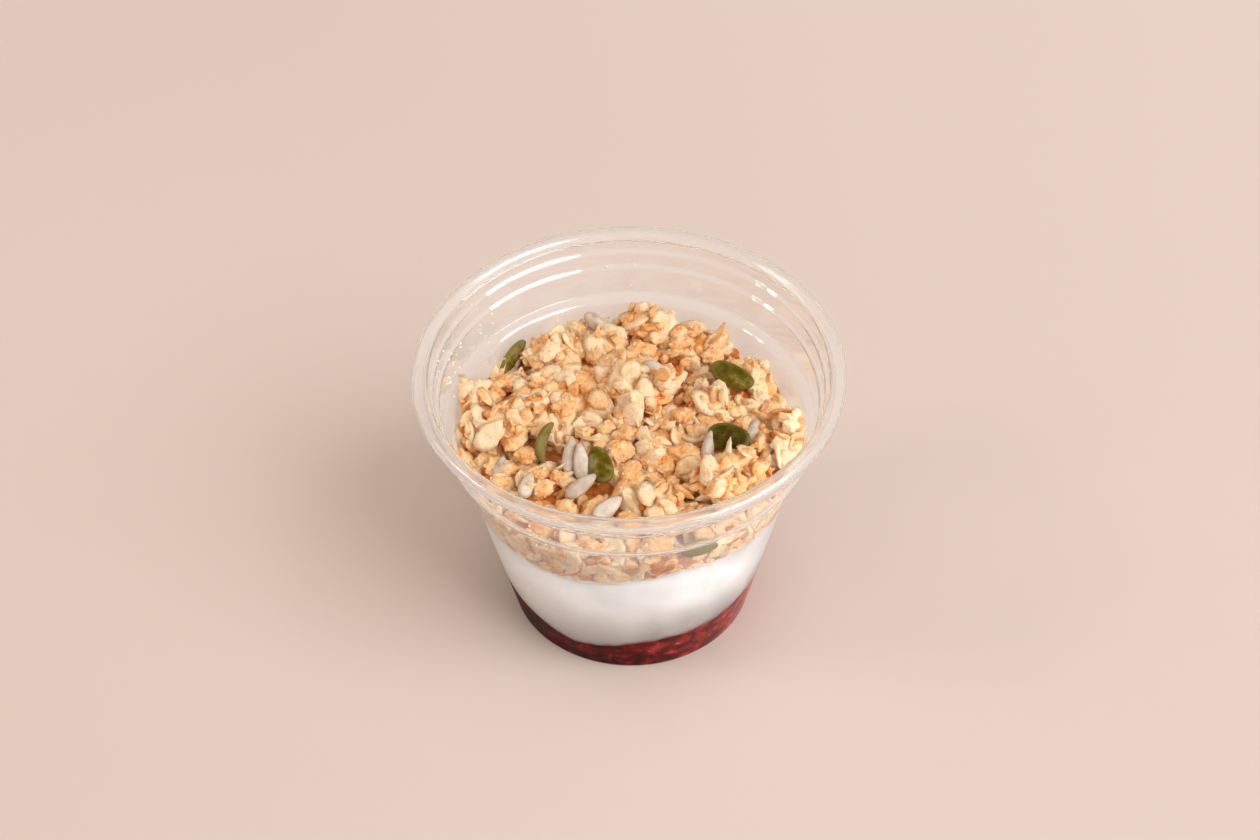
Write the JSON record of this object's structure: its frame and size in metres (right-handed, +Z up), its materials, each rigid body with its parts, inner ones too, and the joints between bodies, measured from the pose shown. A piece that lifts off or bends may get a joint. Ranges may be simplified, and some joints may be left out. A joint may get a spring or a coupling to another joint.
{
  "type": "yogurt pot",
  "caption": "Clear lidless dessert pot with a rolled rim and stepped neck, layered with red fruit compote, white yogurt and a heap of toasted granola with seeds.",
  "frame": {"origin": "centre of the foot, on the surface that the pot stands on", "axes": "+Z up along the pot's axis; the side shown is towards -Y; +X to the right of it"},
  "size_m": [0.095, 0.095, 0.0695],
  "materials": {
    "clear_plastic": "clear, smooth and glossy formed sheet",
    "compote": "wet, dark red cooked fruit with pips",
    "yogurt": "smooth, soft white with a faint sheen",
    "granola": "baked oat flakes and clusters, mostly dull with a light honey glaze",
    "pumpkin_seed": "dark green kernels with a slight sheen",
    "sunflower_seed": "pale grey-cream kernels, dull"
  },
  "bodies": {
    "root": {"pot": "clear_plastic", "compote": "compote", "yogurt": "yogurt", "granola": "granola"}
  },
  "joints": []
}
